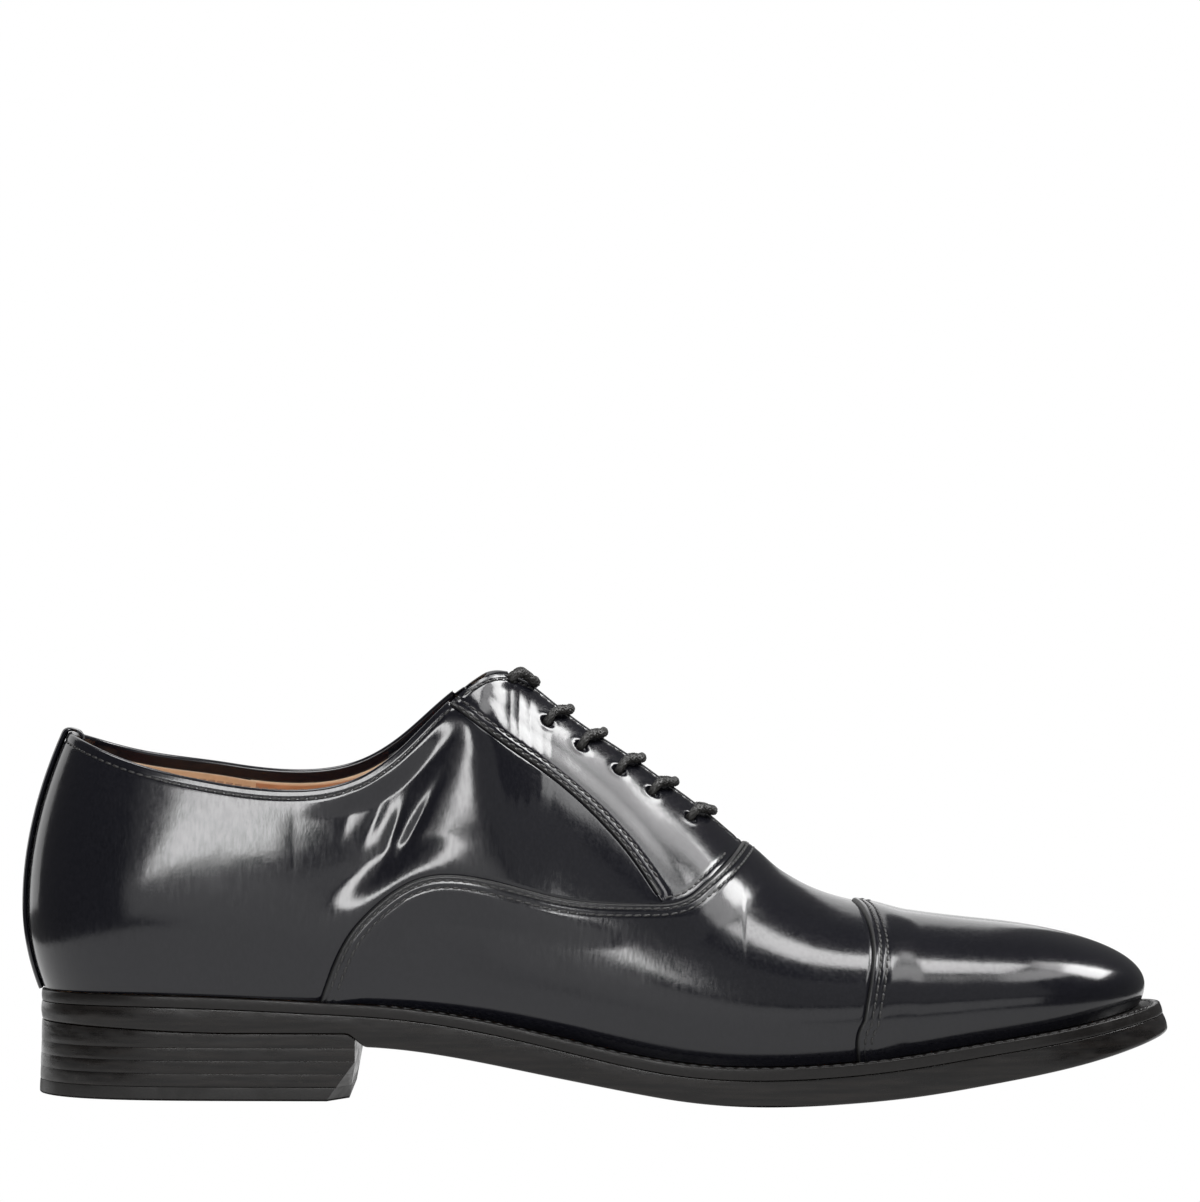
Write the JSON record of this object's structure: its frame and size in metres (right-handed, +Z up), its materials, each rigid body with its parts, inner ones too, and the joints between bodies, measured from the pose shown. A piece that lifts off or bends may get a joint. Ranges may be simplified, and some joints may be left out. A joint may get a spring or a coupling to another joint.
{
  "type": "oxford shoe",
  "caption": "Black leather cap-toe oxford, right foot, closed lacing with a round lace, stitched leather welt, stacked heel, tan lining, sprung tongue and a forepart that flexes at the ball.",
  "frame": {"origin": "middle of the footprint's box, on the ground under the heel and the ball", "axes": "+X towards the toe, +Y towards the inner (medial) side, +Z up"},
  "size_m": [0.305, 0.1022, 0.1127],
  "materials": {
    "upper_leather": "polished black-navy calf, brushed, soft broad reflections",
    "lining_leather": "smooth tan lining leather",
    "heel_suede": "light tan suede",
    "sole_leather": "black-stained leather edge, waxed",
    "welt_leather": "black-stained welt strip, stitched",
    "top_piece_rubber": "matt dark rubber",
    "fibre_board": "leather and fibre board, unfinished",
    "cork": "cork crumb",
    "steel": "plain steel",
    "eyelet_metal": "black-painted blind eyelet",
    "lace_cord": "round braided waxed cotton",
    "aglet_plastic": "shrunk plastic end"
  },
  "bodies": {
    "root": {"quarter_lateral": "upper_leather", "quarter_medial": "upper_leather", "facing_lateral": "upper_leather", "facing_medial": "upper_leather", "vamp": "upper_leather", "back_strip": "upper_leather", "quarter_lining_lateral": "lining_leather", "quarter_lining_medial": "lining_leather", "vamp_lining": "lining_leather", "sock_lining": "lining_leather", "heel_lining": "heel_suede", "outsole": "sole_leather", "heel_lift_1": "sole_leather", "heel_lift_2": "sole_leather", "heel_lift_3": "sole_leather", "heel_lift_4": "sole_leather", "welt": "welt_leather", "heel_top_piece": "top_piece_rubber", "insole": "fibre_board", "heel_counter": "fibre_board", "cork_filler": "cork", "shank": "steel", "heel_nail_1": "steel", "heel_nail_2": "steel", "heel_nail_3": "steel", "heel_nail_4": "steel", "heel_nail_5": "steel", "eyelet_lateral_1": "eyelet_metal", "eyelet_lateral_2": "eyelet_metal", "eyelet_lateral_3": "eyelet_metal", "eyelet_lateral_4": "eyelet_metal", "eyelet_lateral_5": "eyelet_metal", "eyelet_lateral_6": "eyelet_metal", "eyelet_medial_1": "eyelet_metal", "eyelet_medial_2": "eyelet_metal", "eyelet_medial_3": "eyelet_metal", "eyelet_medial_4": "eyelet_metal", "eyelet_medial_5": "eyelet_metal", "eyelet_medial_6": "eyelet_metal", "shoelace": "lace_cord", "aglet_lateral": "aglet_plastic", "aglet_medial": "aglet_plastic"},
    "forefoot": {"toe_cap": "upper_leather", "toe_puff": "fibre_board"},
    "tongue": {"tongue": "upper_leather", "tongue_lining": "lining_leather"}
  },
  "joints": [
    {"name": "forefoot_flex", "type": "hinge", "parent": "root", "child": "forefoot", "pos_m": [0.0527, 0, 0.012], "axis": [0, -1, 0], "range_deg": [0, 25], "stiffness_Nm_per_rad": 2, "deforming": ["vamp", "vamp_lining", "outsole", "welt", "cork_filler", "insole", "sock_lining"]},
    {"name": "tongue_swing", "type": "hinge", "parent": "root", "child": "tongue", "pos_m": [0.0427, 0, 0.052], "axis": [0, -1, 0], "range_deg": [0, 15], "stiffness_Nm_per_rad": 0.5}
  ]
}
